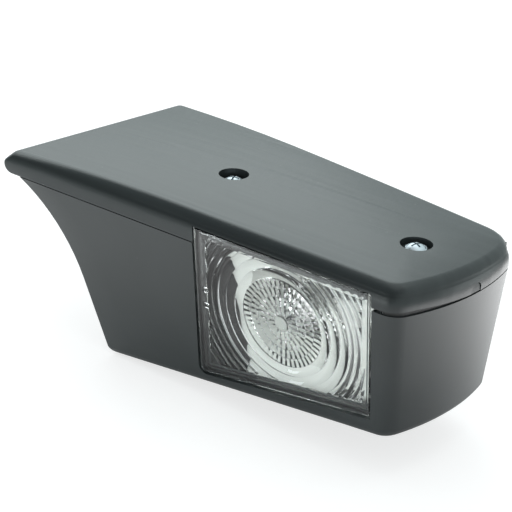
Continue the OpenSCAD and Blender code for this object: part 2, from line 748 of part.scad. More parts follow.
// Flange behind the lens: its inner edge slants and curls back, and notches and a cross are cut in it
curl_r = 8;
curl_end = 1;
curl_step = 0.1;
slant_top = 27.2;
slant_low = 15.7;
notches = [[23, 5], [30, 3.4]];
notch_h = 6;
cross_place = [28, 23.5];
cross_arm = 8.4;
cross_slot = 1.5;
module reflector_flange() {
  low = function (x) lens_bottom + merge + tan(lens_rise) * (x - lens_x0);
  top = -lens_drop - 1.5;
  x0 = optic.x - slant_top;
  x1 = optic.x - slant_low;
  x2 = lens_x1 - 1.5;
  edge = [x1 - x0, low(x1) - top];
  on_front() translate([0, 0, -reflector_in - reflector_wall]) difference() {
    linear_extrude(reflector_wall) polygon([[x0, top], [x1, low(x1)], [x2, low(x2)], [x2, top]]);
    translate([optic.x, optic.y, -1]) cylinder(r = bowl_r, h = reflector_wall + 2, $fn = 96);
    for (n = notches) translate([optic.x + n[0], low(optic.x + n[0]) - 1, -1])
      cube([n[1], notch_h + 1, reflector_wall + 2]);
    for (a = [-40, 40]) translate([optic.x + cross_place.x, optic.y + cross_place.y, -1]) rotate([0, 0, a])
      translate([-cross_arm / 2, -cross_slot / 2, 0]) cube([cross_arm, cross_slot, reflector_wall + 2]);
  }
  on_front() translate([x0, top, -reflector_in - curl_r]) rotate([0, 0, atan2(edge.y, edge.x)])
    rotate([90, 0, 90]) translate([merge / 2, 0, curl_end])
      linear_extrude(norm(edge) - 2 * curl_end) polygon(concat(
        [[merge, curl_r - curl_step]],
        [for (a = [0:15:90]) (curl_r - curl_step) * [-sin(a), cos(a)]],
        [for (a = [90:-15:0]) (curl_r - reflector_wall + curl_step) * [-sin(a), cos(a)]],
        [[merge, curl_r - reflector_wall + curl_step]]));
}

module reflector_foot() {
  width = foot_pitch + 12;
  difference() {
    union() {
      translate([optic.x - width / 2, foot_y - 5, foot_z]) cube([width, 10, foot_t]);
      on_front() translate([optic.x, optic.y, -foot_in - 1]) linear_extrude(2)
        polygon([[-neck_r, 0], [neck_r, 0], [neck_r + 4, foot_z - optic.y], [-neck_r - 4, foot_z - optic.y]]);
      for (x = [-neck_r - 2, neck_r + 0.4])
        translate([optic.x + x, foot_y - 5, foot_z]) cube([1.6, 10, 12]);
    }
    translate([optic.x - width, foot_y - 30, foot_z - 30]) cube([2 * width, 60, 30]);
    for (x = [-foot_pitch / 2, foot_pitch / 2])
      translate([optic.x + x, foot_y, foot_z - 1]) cylinder(d = foot_screw_d + air, h = foot_t + 2, $fn = 32);
    on_optic() cylinder(r = sleeve_r + sleeve_t + seat, h = 2 * neck_end, $fn = 96);
    on_optic() cylinder(r = neck_r, h = neck_step, $fn = 96);
  }
}

module reflector() {
  color([0.9, 0.9, 0.86]) placed() union() {
    on_optic() reflector_bowl();
    reflector_flange();
    reflector_foot();
  }
}

module reflector_screws() {
  color([0.78, 0.79, 0.8]) placed()
    for (x = [-foot_pitch / 2, foot_pitch / 2])
      translate([optic.x + x, foot_y, foot_z + foot_t])
        pan_screw(foot_screw_d, foot_screw_l, foot_screw_head, foot_screw_head_t);
}

// Bulb
glass_t = 0.7;
glass_neck_r = cap_r - 0.4;
module bulb_glass() {
  seal_z = cap_front + 3;
  stem_r = 3.4;
  stem_z = focus_in + 9;
  neck_r_in = glass_neck_r - 1.2 - glass_t;
  globe = function (r, a) [r * cos(a), focus_in + r * sin(a)];
  join_out = asin((glass_neck_r - 1.2) / bulb_r);
  join_in = asin(neck_r_in / (bulb_r - glass_t));
  color([0.95, 0.97, 0.98, 0.35]) placed() on_optic() rotate_extrude($fn = 64) polygon(concat(
    [for (i = [0:24]) globe(bulb_r, -90 + (180 - join_out) * i / 24)],
    [[glass_neck_r - 1.2, seal_z], [0, seal_z], [0, stem_z], [stem_r, stem_z], [stem_r, seal_z - glass_t],
     [neck_r_in, seal_z - glass_t]],
    [for (i = [0:24]) globe(bulb_r - glass_t, 90 - join_in - (180 - join_in) * i / 24)]));
}

module bulb_filament() {
  color([0.55, 0.55, 0.56]) placed() on_optic() {
    for (x = [-2.2, 2.2]) translate([x, 0, focus_in]) cylinder(r = 0.25, h = 9, $fn = 16);
    translate([-2.6, 0, focus_in]) rotate([0, 90, 0]) cylinder(r = 0.45, h = 5.2, $fn = 24);
  }
}

module bulb_cap() {
  color([0.8, 0.72, 0.45]) placed() on_optic() difference() {
    union() {
      translate([0, 0, cap_front]) cylinder(r = cap_r, h = cap_back - cap_front, $fn = 64);
      for (x = [-1, 1]) translate([x * (cap_r - 0.4), 0, pin_in]) rotate([0, 90 * x, 0])
        cylinder(r = 1, h = pin_reach - cap_r + 0.4, $fn = 32);
    }
    translate([0, 0, cap_front - 1]) cylinder(r = glass_neck_r - 1.2 + seat, h = 4.5, $fn = 64);
    translate([0, 0, cap_front + 3]) cylinder(r = cap_r - 0.5, h = cap_back - cap_front - 3.6, $fn = 64);
    translate([0, 0, cap_back - 1]) cylinder(r = 4.5, h = 2, $fn = 64);
  }
}

module bulb_insulator() {
  color([0.08, 0.08, 0.1]) placed() on_optic() difference() {
    union() {
      translate([0, 0, cap_back - 0.6 - 2]) cylinder(r = cap_r - 0.5 - seat, h = 2, $fn = 64);
      translate([0, 0, cap_back - 0.6]) cylinder(r = 4.5 - seat, h = 1.2, $fn = 64);
    }
    translate([0, 0, cap_back - 4]) cylinder(r = 1.6, h = 8, $fn = 32);
  }
}

contact_tip = cap_back + 1.6;
module bulb_contact() {
  color([0.75, 0.75, 0.74]) placed() on_optic() {
    translate([0, 0, cap_back - 2]) cylinder(r = 1.6 - seat, h = 2.7, $fn = 32);
    translate([0, 0, cap_back + 0.6]) cylinder(r1 = 2.6, r2 = 1.8, h = 1, $fn = 32);
  }
}

// Bulb holder
base_in = cap_back + 5;
slot_side = 9;
slot_turn = 24;

// Piece of a bayonet slot: between two angles and two depths, right through the sleeve's wall
module slot_piece(a0, a1, z0, z1) {
  rotate([0, 0, a0]) rotate_extrude(angle = a1 - a0, $fn = 96)
    translate([sleeve_r - 2, z0]) square([sleeve_t + 4, z1 - z0]);
}

module holder_sleeve() {
  front = cap_front + 0.5;
  color([0.75, 0.76, 0.76]) placed() on_optic() difference() {
    translate([0, 0, front]) cylinder(r = sleeve_r + sleeve_t, h = sleeve_end - front, $fn = 96);
    translate([0, 0, front - 1]) cylinder(r = sleeve_r, h = sleeve_end - front + 2, $fn = 96);
    for (a = [0, 180]) rotate([0, 0, a]) {
      slot_piece(slot_turn - slot_side, slot_turn + slot_side, front - 1, pin_in + 1);
      slot_piece(-slot_side, slot_turn + slot_side + 0.5, pin_in, pin_in + 2.5);
      slot_piece(-slot_side - 0.5, slot_side, pin_in - 1.2, pin_in + 2);
    }
  }
}

spring_r = 2;
module holder_base() {
  color([0.12, 0.12, 0.12]) placed() on_optic() difference() {
    union() {
      translate([0, 0, base_in]) cylinder(r = sleeve_r - seat, h = sleeve_end - base_in, $fn = 64);
      translate([0, 0, base_in - 2]) cylinder(r = 4, h = 3, $fn = 48);
    }
    translate([0, 0, base_in - 3]) cylinder(r = spring_r + 0.3, h = sleeve_end - base_in + 4, $fn = 48);
  }
}

plunger_back = base_in - 0.2;
module contact_plunger() {
  color([0.82, 0.7, 0.4]) placed() on_optic() {
    translate([0, 0, contact_tip]) cylinder(r = spring_r + 0.2, h = plunger_back - contact_tip, $fn = 48);
  }
}

module contact_spring() {
  turns = 3.5;
  wire = 0.28;
  steps = 12;
  z0 = plunger_back + wire + 0.02;
  z1 = sleeve_end - wire - 0.02;
  n = turns * steps;
  color([0.7, 0.71, 0.72]) placed() on_optic()
    rod([for (i = [0:n]) [
      (spring_r - wire) * cos(360 * i / steps), (spring_r - wire) * sin(360 * i / steps),
      z0 + (z1 - z0) * i / n]], wire, 6, [0, 0, 1]);
}

blade_w = 6.3;
blade_t = 0.8;
blade_end = sleeve_end + 12;
earth_r = sleeve_r + sleeve_t + seat;
module terminal_live() {
  color([0.82, 0.74, 0.5]) placed() on_optic() {
    translate([0, 0, sleeve_end]) cylinder(r = 4.5, h = blade_t, $fn = 48);
    translate([-blade_w / 2, -blade_t / 2, sleeve_end]) cube([blade_w, blade_t, blade_end - sleeve_end]);
  }
}

module terminal_earth() {
  color([0.82, 0.74, 0.5]) placed() on_optic()
    translate([-blade_w / 2, earth_r, neck_end + 0.5]) cube([blade_w, blade_t, blade_end - neck_end - 0.5]);
}

// Push-on receptacles over the two blades
receptacle = [7.6, 2.6, 9];
module blade_receptacles() {
  color([0.85, 0.83, 0.76]) placed() on_optic()
    for (y = [0, earth_r + blade_t / 2])
      translate([0, y, blade_end - receptacle.z + 1.5]) difference() {
        translate([-receptacle.x / 2, -receptacle.y / 2, 0]) cube(receptacle);
        translate([-blade_w / 2 - seat, -blade_t / 2 - seat, -1])
          cube([blade_w + 2 * seat, blade_t + 2 * seat, receptacle.z - 0.5]);
      }
}

// Where an optic-axis point at depth d and height v above the axis lies in the lamp's lines
function behind(d, v) =
  [optic.x, d * cos(front_lean) - (optic.y + v) * sin(front_lean),
   (optic.y + v) * cos(front_lean) + d * sin(front_lean)];

// Connector on the floor near the cable inlet, in a cradle of two ribs
connector = [24, 14, 10];
connector_x = 57;
connector_y = 58;
connector_z = floor_z(connector_x + connector.x, wall) + 1.2;
connector_mid = [connector_x + connector.x, connector_y + connector.y / 2, connector_z + connector.z / 2];
pin_pitch = 6;

// Routes of the two leads, from the receptacles to the connector
lead_back = blade_end + 1.5 + 2 * fit;
function lead_route(v, side) =
  let (start = behind(lead_back, v))
  smooth([
    start,
    start + [0, 3, 0.35],
    start + [-4, 5.5 + side, -1],
    start + [-10, 6 + 1.5 * side, -4.5],
    connector_mid + [47, 8.5 + 1.5 * side, 34 + 3 * side],
    connector_mid + [35, 8.5 + 1.5 * side, 22 + 3 * side],
    connector_mid + [21, 6 + 1.5 * side, 10 + 3 * side],
    connector_mid + [9, side * pin_pitch / 2, 1 + side],
    connector_mid + [4, side * pin_pitch / 2, 0],
    connector_mid + [fit, side * pin_pitch / 2, 0]], 4);

module lead_live() {
  color([0.1, 0.1, 0.11]) placed() rod(lead_route(0, -1), lead_d / 2, 8, [0, 0, 1]);
}

module lead_earth() {
  color([0.06, 0.06, 0.06]) placed() rod(lead_route(earth_r + blade_t / 2, 1), lead_d / 2, 8, [0, 0, 1]);
}

module lead_connector() {
  color([0.85, 0.84, 0.78]) placed() translate([connector_x, connector_y, connector_z]) difference() {
    cube(connector);
    translate([-1, 1.2, 1.2]) cube([10, connector.y - 2.4, connector.z - 2.4]);
    for (s = [-1, 1])
      translate([8, connector.y / 2 + s * pin_pitch / 2, connector.z / 2]) rotate([0, 90, 0])
        cylinder(d = 1.6, h = connector.x - 9, $fn = 32);
  }
}

module connector_pins() {
  color([0.82, 0.74, 0.5]) placed()
    for (s = [-1, 1])
      translate([connector_x + 2, connector_mid.y + s * pin_pitch / 2, connector_mid.z]) rotate([0, 90, 0])
        cylinder(d = 1.6 - 2 * seat, h = connector.x - 3.2, $fn = 32);
}

// Grommet in the concave wall
grommet_hole_r = 6;
grommet_r = 8.2;
grommet_sink = 2;
grommet_panel = 2.6;
module cable_grommet() {
  color([0.07, 0.07, 0.07]) placed() on_wall(cable_slope) difference() {
    union() {
      translate([0, 0, grommet_sink - 1.7]) cylinder(r = grommet_r, h = 1.65, $fn = 64);
      translate([0, 0, grommet_sink - fit])
        cylinder(r = grommet_hole_r - seat, h = grommet_panel + 2 * fit, $fn = 64);
      translate([0, 0, grommet_sink + grommet_panel + 0.05]) cylinder(r = grommet_r, h = 1.8, $fn = 64);
      translate([0, 0, grommet_sink + grommet_panel + 1]) cylinder(r1 = 6.4, r2 = 4.6, h = 5, $fn = 64);
    }
    translate([0, 0, -past]) cylinder(d = cable_bore_d, h = 4 * past, $fn = 48);
  }
}

// Housing
rib_t = 1.6;
module housing_posts() {
  gusset = 11;
  gusset_top = 45;
  for (i = [0, 1]) {
    s = screws[i];
    base = floor_z(s.x, wall) - wall / 2;
    translate([s.x, s.y, base]) cylinder(r = post_r, h = -boss_ends[i] - fit - base, $fn = 64);
    for (side = [-1, 1])
      translate([s.x, s.y + rib_t / 2, 0]) rotate([90, 0, 0]) linear_extrude(rib_t) polygon([
        [0, base], [side * gusset, floor_z(s.x + side * gusset, wall / 2)],
        [side * (post_r - 1), base + gusset_top], [0, base + gusset_top]]);
  }
}

module housing_foot_bosses() {
  for (x = [-foot_pitch / 2, foot_pitch / 2]) {
    base = floor_z(optic.x + x, wall / 2);
    translate([optic.x + x, foot_y, base]) cylinder(r = 4, h = foot_z - base, $fn = 48);
  }
}

module back_rib(x) {
  z1 = rim_z(x) - 6;
  z0 = floor_z(x, wall);
  deep = 3;
  translate([x - rib_t / 2, 0, 0]) rotate([90, 0, 90]) linear_extrude(rib_t) polygon([
    [back_y(x, z0, wall / 2), z0 - wall / 2], [back_y(x, z1, wall / 2), z1],
    [back_y(x, z1, wall), z1], [back_y(x, z1 - deep, wall + deep), z1 - deep],
    [back_y(x, z0, wall + deep), z0 - wall / 2]]);
}

module housing_cradle() {
  for (y = [connector_y - rib_t - fit, connector_y + connector.y + fit])
    translate([connector_x + 2, y, connector_z - 5]) cube([connector.x - 4, rib_t, 5 + connector.z * 0.7]);
  for (x = [connector_x + 2, connector_x + connector.x - 2 - rib_t])
    translate([x, connector_y - fit, connector_z - 5]) cube([rib_t, connector.y + 2 * fit, 5]);
}

// Channel behind the front wall that holds the lens's flange and seal
module housing_channel() {
  on_front() difference() {
    lens_slab(flange_out + channel_t + fit, -lens_drop, wall / 2, channel_back);
    lens_slab(-2.5, past, 0, channel_back + 1);
    lens_slab(flange_out + fit, past, flange_face - fit, seal_back + fit / 2);
  }
}

// All that lies above the housing's rim
module above_rim() {
  slope = atan((rim_z(body_length) - rim_z(0)) / body_length);
  translate([0, 0, rim_z(0)]) rotate([0, -slope, 0]) translate([-40, -40, 0])
    cube([body_length + 80, body_depth + 80, 60]);
}

module housing() {
  color([0.24, 0.26, 0.26]) placed() difference() {
    union() {
      difference() {
        loft(housing_rings(0));
        loft(housing_rings(wall));
      }
      intersection() {
        loft(housing_rings(wall / 2));
        union() {
          for (x = [screws[0].x - 22, screws[0].x + 20, screws[1].x - 32]) back_rib(x);
          housing_cradle();
          difference() {
            housing_channel();
            above_rim();
          }
        }
      }
      housing_posts();
      housing_foot_bosses();
      on_wall(roof_hole_slope) for (y = [-roof_hole_pitch / 2, roof_hole_pitch / 2])
        translate([0, y, 1]) cylinder(r = 8, h = wall + 2, $fn = 64);
      on_wall(cable_slope) translate([0, 0, 1])
        cylinder(r = grommet_r + 1.4, h = grommet_sink + grommet_panel - 1, $fn = 64);
    }
    on_front() lens_slab(lens_gap, past, -past, wall + fit);
    on_front() lens_slab(flange_out + fit, past, flange_face - fit, seal_back + fit / 2);
    for (i = [0, 1]) translate([screws[i].x, screws[i].y, -boss_ends[i] - pilot_depth])
      cylinder(d = screw_d + 2 * seat, h = pilot_depth + past, $fn = 48);
    for (x = [-foot_pitch / 2, foot_pitch / 2])
      translate([optic.x + x, foot_y, foot_z - 5.5]) cylinder(d = foot_screw_d + 2 * seat, h = 10, $fn = 32);
    on_wall(roof_hole_slope) for (y = [-roof_hole_pitch / 2, roof_hole_pitch / 2])
      translate([0, y, -past]) cylinder(d = roof_hole_d, h = 4 * past, $fn = 48);
    on_wall(cable_slope) translate([0, 0, -past]) {
      cylinder(r = grommet_hole_r, h = 4 * past, $fn = 64);
      cylinder(r = grommet_r + air, h = past + grommet_sink, $fn = 64);
    }
    translate([heel_x + 8, 22, floor_z(heel_x, 0) - 1]) cylinder(d = 4, h = 10, $fn = 32);
  }
}

housing();
lid();
lid_screws();
lid_seal();
lens();
lens_seal();
reflector();
reflector_screws();
bulb_glass();
bulb_filament();
bulb_cap();
bulb_insulator();
bulb_contact();
holder_sleeve();
holder_base();
contact_plunger();
contact_spring();
terminal_live();
terminal_earth();
blade_receptacles();
lead_live();
lead_earth();
lead_connector();
connector_pins();
cable_grommet();
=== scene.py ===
import math

import bmesh
import bpy
from mathutils import Matrix, Vector


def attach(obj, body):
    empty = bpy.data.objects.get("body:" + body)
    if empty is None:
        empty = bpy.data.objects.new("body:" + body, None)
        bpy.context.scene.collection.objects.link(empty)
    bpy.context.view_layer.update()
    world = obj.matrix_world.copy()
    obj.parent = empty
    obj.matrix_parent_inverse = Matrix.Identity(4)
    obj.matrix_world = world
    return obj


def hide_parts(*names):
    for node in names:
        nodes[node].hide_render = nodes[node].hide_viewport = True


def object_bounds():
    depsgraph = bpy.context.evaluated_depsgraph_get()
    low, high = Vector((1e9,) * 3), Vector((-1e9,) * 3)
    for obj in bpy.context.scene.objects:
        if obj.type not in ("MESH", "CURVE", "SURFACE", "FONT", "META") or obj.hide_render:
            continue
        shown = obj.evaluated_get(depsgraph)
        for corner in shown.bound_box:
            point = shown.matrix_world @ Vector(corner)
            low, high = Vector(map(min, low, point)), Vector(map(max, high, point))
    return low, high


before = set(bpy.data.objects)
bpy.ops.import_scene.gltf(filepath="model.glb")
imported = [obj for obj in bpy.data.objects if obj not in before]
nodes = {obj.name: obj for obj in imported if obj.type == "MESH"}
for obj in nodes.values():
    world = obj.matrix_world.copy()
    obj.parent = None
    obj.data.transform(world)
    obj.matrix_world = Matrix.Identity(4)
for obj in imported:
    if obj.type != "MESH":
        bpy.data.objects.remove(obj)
cad_box = [list(corner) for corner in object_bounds()]

# The camera looks down on the lid, the front face and the outer end from the lens's right.
# Its place and turn are those at which the lamp's edges fall on the photograph's.
camera_data = bpy.data.cameras.new("camera")
camera_data.sensor_width = 36
camera_data.lens = 105.6
camera_data.clip_start = 0.05
camera_data.clip_end = 20
camera = bpy.data.objects.new("camera", camera_data)
bpy.context.scene.collection.objects.link(camera)
right = (0.77809, 0.62658, 0.04435)
up = (-0.29782, 0.30582, 0.90431)
back = (0.55306, -0.71684, 0.42457)
eye = (0.432910, -0.463359, 0.265848)
camera.matrix_world = Matrix([*zip(right, up, back, eye), (0, 0, 0, 1)])
bpy.context.scene.camera = camera


# Housing: one dark grey moulding in tough plastic, concave where it sits on the roof's edge.
# Its faces carry the even, dull grain of a spark-eroded mould, with faint flow lines.
weld_gap = 1e-6


def link_object(name, data):
    piece = bpy.data.objects.new(name, data)
    bpy.context.scene.collection.objects.link(piece)
    return piece


def shade_smooth(work, angle):
    for face in work.faces:
        face.smooth = True
    for edge in work.edges:
        joined = len(edge.link_faces) == 2
        edge.smooth = joined and edge.calc_face_angle(0) < math.radians(angle)


def dress(name, material, angle):
    mesh = bpy.data.meshes.new(name + "_skin")
    work = bmesh.new()
    work.from_mesh(nodes[name].data)
    bmesh.ops.remove_doubles(work, verts=work.verts, dist=weld_gap)
    shade_smooth(work, angle)
    work.to_mesh(mesh)
    work.free()
    mesh.materials.append(material)
    piece = link_object(name + "_skin", mesh)
    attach(piece, "root")
    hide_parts(name)


def feed(tree, node, inputs):
    for key, value in inputs.items():
        if isinstance(value, bpy.types.NodeSocket):
            tree.links.new(value, node.inputs[key])
        else:
            node.inputs[key].default_value = value


def add(tree, kind, inputs, **settings):
    node = tree.nodes.new(kind)
    for key, value in settings.items():
        setattr(node, key, value)
    feed(tree, node, inputs)
    return node.outputs


def maths(tree, operation, first, second):
    return add(tree, "ShaderNodeMath", {0: first, 1: second}, operation=operation)["Value"]


def ranged(tree, value, low, high, to_low, to_high, curve="LINEAR"):
    return add(tree, "ShaderNodeMapRange", {
        "Value": value, "From Min": low, "From Max": high, "To Min": to_low, "To Max": to_high},
        interpolation_type=curve)["Result"]


def mixed(tree, factor, first, second):
    return add(tree, "ShaderNodeMix", {"Factor": factor, "A": first, "B": second},
        data_type="RGBA")["Result"]


def new_material(name):
    material = bpy.data.materials.new(name)
    material.use_nodes = True
    tree = material.node_tree
    return material, tree, tree.nodes["Principled BSDF"]


def moulded_grain():
    tree = bpy.data.node_groups.new("moulded_grain", "ShaderNodeTree")
    for name, kind, value in (
            ("Colour", "NodeSocketColor", (0.05, 0.05, 0.05, 1)),
            ("Flow tint", "NodeSocketColor", (0.07, 0.07, 0.07, 1)),
            ("Flow size", "NodeSocketFloat", 40.0),
            ("Flow stretch", "NodeSocketVector", (1, 1, 1)),
            ("Wave height", "NodeSocketFloat", 0.0),
            ("Grain size", "NodeSocketFloat", 2500.0),
            ("Grain height", "NodeSocketFloat", 0.1),
            ("Roughness low", "NodeSocketFloat", 0.36),
            ("Roughness high", "NodeSocketFloat", 0.48),
            ("Dust", "NodeSocketFloat", 0.3)):
        socket = tree.interface.new_socket(name=name, in_out="INPUT", socket_type=kind)
        socket.default_value = value
    for name, kind in (("Colour", "NodeSocketColor"), ("Roughness", "NodeSocketFloat"),
                       ("Normal", "NodeSocketVector")):
        tree.interface.new_socket(name=name, in_out="OUTPUT", socket_type=kind)
    given = tree.nodes.new("NodeGroupInput").outputs
    place = add(tree, "ShaderNodeTexCoord", {})["Object"]
    drawn_out = add(tree, "ShaderNodeVectorMath", {0: place, 1: given["Flow stretch"]},
        operation="MULTIPLY")["Vector"]
    flow = add(tree, "ShaderNodeTexNoise", {
        "Vector": drawn_out, "Scale": given["Flow size"], "Detail": 1.5, "Distortion": 0.5})["Fac"]
    tint = mixed(tree, ranged(tree, flow, 0.35, 0.65, 0, 1), given["Colour"], given["Flow tint"])

    # One cell in a few holds a speck of dust at its middle
    cells_per_metre = 260
    speck_reach, speck_core = 0.045, 0.03
    share_without = 0.82
    pale_dust = (0.6, 0.6, 0.58, 1)
    cells = add(tree, "ShaderNodeTexVoronoi", {"Vector": place, "Scale": cells_per_metre})
    speck = ranged(tree, cells["Distance"], speck_reach, speck_core, 0, 1)
    draw = add(tree, "ShaderNodeSeparateColor", {"Color": cells["Color"]})["Red"]
    chosen = maths(tree, "GREATER_THAN", draw, share_without)
    amount = maths(tree, "MULTIPLY", maths(tree, "MULTIPLY", speck, chosen), given["Dust"])

    grain_step = 0.0001
    grain = add(tree, "ShaderNodeTexNoise", {
        "Vector": place, "Scale": given["Grain size"], "Detail": 2})["Fac"]
    fine = add(tree, "ShaderNodeBump", {
        "Height": grain, "Strength": given["Grain height"], "Distance": grain_step})["Normal"]
    wavy = add(tree, "ShaderNodeBump", {
        "Height": flow, "Distance": given["Wave height"], "Normal": fine})["Normal"]
    feed(tree, tree.nodes.new("NodeGroupOutput"), {
        "Colour": mixed(tree, amount, tint, pale_dust),
        "Roughness": ranged(tree, flow, 0, 1, given["Roughness low"], given["Roughness high"]),
        "Normal": wavy})
    return tree


grain_group = moulded_grain()


def moulded(name, colour, tint, **values):
    material, tree, shader = new_material(name)
    inputs = {key.replace("_", " ").capitalize(): value for key, value in values.items()}
    grain = add(tree, "ShaderNodeGroup", {
        "Colour": (*colour, 1), "Flow tint": (*tint, 1), **inputs}, node_tree=grain_group)
    feed(tree, shader, {
        "Base Color": grain["Colour"], "Roughness": grain["Roughness"], "Normal": grain["Normal"]})
    return material


dress("housing", moulded(
    "charcoal_housing", (0.022, 0.0265, 0.027), (0.027, 0.032, 0.033), flow_size=25,
    grain_size=2600, grain_height=0.2, roughness_low=0.3, roughness_high=0.38, dust=0.3),
    28)

# Lid: the same plastic in a smoother tool, one moulding with its skirt, nose and screw recesses.
# Faint flow lines run along its top. The skirt is drafted and fuller than its facets, so the
# shading rolls over from its lower edge to the top, but for the screw recesses and the back.
charcoal_lid = moulded(
    "charcoal_lid", (0.025, 0.030, 0.031), (0.031, 0.037, 0.038), flow_size=60,
    flow_stretch=(0.18, 2.4, 1), wave_height=0.00022, grain_size=3200, grain_height=0.15,
    roughness_low=0.29, roughness_high=0.34, dust=0.5)
tree = charcoal_lid.node_tree
shader = tree.nodes["Principled BSDF"]
plain_colour = shader.inputs["Base Color"].links[0].from_socket
plain_normal = shader.inputs["Normal"].links[0].from_socket
place = add(tree, "ShaderNodeTexCoord", {})["Object"]
level = add(tree, "ShaderNodeSeparateXYZ", {"Vector": place})
# Painted shade: below the edge's rounding the skirt's base colour is darkened to 0.8, blending
# back to the full colour towards the top.
shade_low, shade_high, painted_shade_level = 0.0235, 0.0268, 0.8
skirt_painted_shade = ranged(tree, level["Z"], shade_low, shade_high, painted_shade_level, 1)
colour = add(tree, "ShaderNodeVectorMath", {"Vector": plain_colour, "Scale": skirt_painted_shade},
    operation="SCALE")["Vector"]

skirt_low, skirt_bend, lid_top = 0.012, 0.0225, 0.0275
steep_depth, draft_depth, edge_depth = 0.00207, 0.0018, 0.0024
rise = ranged(tree, level["Z"], skirt_low, skirt_bend, 0, 1)
over = ranged(tree, level["Z"], skirt_bend, lid_top, 0, 1)
steepening = maths(tree, "MULTIPLY", maths(tree, "POWER", rise, 4), steep_depth)
draft = maths(tree, "MULTIPLY", rise, draft_depth)
fading = maths(tree, "MULTIPLY", over, maths(tree, "SUBTRACT", 2, over))
rolled = maths(tree, "ADD", maths(tree, "ADD", steepening, draft),
    maths(tree, "MULTIPLY", fading, edge_depth))

screw_axes = (0.0645, -0.0039, 0), (0.1599, -0.0089, 0)
recess_rim, roll_from = 0.009, 0.0095
roll_fades, roll_ends = 0.012, 0.034
flat = add(tree, "ShaderNodeVectorMath", {0: place, 1: (1, 1, 0)}, operation="MULTIPLY")["Vector"]
inner_gap, outer_gap = [
    add(tree, "ShaderNodeVectorMath", {0: flat, 1: axis}, operation="DISTANCE")["Value"]
    for axis in screw_axes]
screw_gap = maths(tree, "MINIMUM", inner_gap, outer_gap)
clear_of_screws = ranged(tree, screw_gap, recess_rim, roll_from, 0, 1)
clear_of_back = ranged(tree, level["Y"], roll_fades, roll_ends, 1, 0)
roll = add(tree, "ShaderNodeBump", {
    "Height": rolled, "Distance": 1, "Normal": plain_normal,
    "Strength": maths(tree, "MULTIPLY", clear_of_screws, clear_of_back)}, invert=True)["Normal"]
feed(tree, shader, {"Base Color": colour, "Normal": roll})
dress("lid", charcoal_lid, 28)


# Screws: two pan head screws in bright zinc hold the lid, two small ones the reflector's foot.
# Turned and rolled steel with a thin bright plating, a little cloudy.
def plated(name, colour, low, high, size):
    material, tree, shader = new_material(name)
    place = add(tree, "ShaderNodeTexCoord", {})["Object"]
    cloud = add(tree, "ShaderNodeTexNoise", {"Vector": place, "Scale": size, "Detail": 4})["Fac"]
    dull_share = 0.86
    dull = [part * dull_share for part in colour]
    feed(tree, shader, {
        "Metallic": 1,
        "Base Color": mixed(tree, cloud, (*dull, 1), (*colour, 1)),
        "Roughness": ranged(tree, cloud, 0, 1, low, high),
        "Normal": add(tree, "ShaderNodeBump", {
            "Height": cloud, "Strength": 0.15, "Distance": 0.0001})["Normal"]})
    return material


zinc = plated("bright_zinc", (0.66, 0.72, 0.77), 0.34, 0.5, 900)
for name in ("lid_screws", "reflector_screws"):
    dress(name, zinc, 32)


# Lens: one clear acrylic moulding, smooth outside, with flutes and stepped rings moulded inside.
# It drops into the housing's channel from above and the lid's skirt holds it down.
def see_through(name, ior, size, dull, bright, haze, shadow, ripple_strength=0):
    material, tree, shader = new_material(name)
    place = add(tree, "ShaderNodeTexCoord", {})["Object"]
    ripple = add(tree, "ShaderNodeTexNoise", {"Vector": place, "Scale": size, "Detail": 2})["Fac"]
    shadow_ray = add(tree, "ShaderNodeLightPath", {})["Is Shadow Ray"]
    feed(tree, shader, {
        "Transmission Weight": 1,
        "IOR": ior,
        "Base Color": mixed(tree, ripple, (*dull, 1), (*bright, 1)),
        "Roughness": ranged(tree, ripple, 0, 1, *haze),
        "Alpha": ranged(tree, shadow_ray, 0, 1, 1, shadow)})
    if ripple_strength:
        feed(tree, shader, {"Normal": add(tree, "ShaderNodeBump", {
            "Height": ripple, "Strength": ripple_strength, "Distance": 0.0003})["Normal"]})
    return material


clear = see_through("clear_acrylic", ior=1.49, size=90, dull=(0.965, 0.985, 0.985),
    bright=(0.985, 0.995, 0.995), haze=(0.01, 0.04), shadow=0.1, ripple_strength=0.05)

# The lens's plane leans with the front face. Its outline is square to the lid, and its lower edge
# rises towards the outer end. Places on it are given in the lamp's lines: x, height, depth.
datum = Vector((0.024105, 0.047, -0.027489))
lean = math.radians(6.6)
lens_left, lens_right, lens_top, lens_low = 0.1025, 0.1888, -0.007, -0.0761
lens_rise = math.tan(math.radians(9))
plate_back, flange_back = 0.0027, 0.0043
corner_steps = 8


def on_front(x, v, depth):
    y = depth * math.cos(lean) - v * math.sin(lean)
    z = v * math.cos(lean) + depth * math.sin(lean)
    return Vector((x, y, z)) - datum


def lens_outline(out, corner):
    def low(x):
        return lens_low - out + lens_rise * (x - lens_left)
    left, right, top = lens_left - out, lens_right + out, lens_top + out
    start = Vector((left + corner, low(left + corner)))
    middle = Vector((left, low(left)))
    end = Vector((left, low(left) + corner))
    points = [(left, top), (right, top), (right, low(right))]
    for i in range(corner_steps + 1):
        t = i / corner_steps
        points.append(tuple(start * (1 - t) ** 2 + middle * 2 * t * (1 - t) + end * t ** 2))
    return points


def solid_of(name, loops):
    work = bmesh.new()
    rings = [[work.verts.new(point) for point in loop] for loop in loops]
    count = len(rings[0])
    for a, b in zip(rings, rings[1:]):
        for i in range(count):
            j = (i + 1) % count
            work.faces.new((a[i], a[j], b[j], b[i]))
    work.faces.new(list(reversed(rings[0])))
    work.faces.new(rings[-1])
    bmesh.ops.recalc_face_normals(work, faces=work.faces)
    mesh = bpy.data.meshes.new(name)
    work.to_mesh(mesh)
    work.free()
    return link_object(name, mesh)


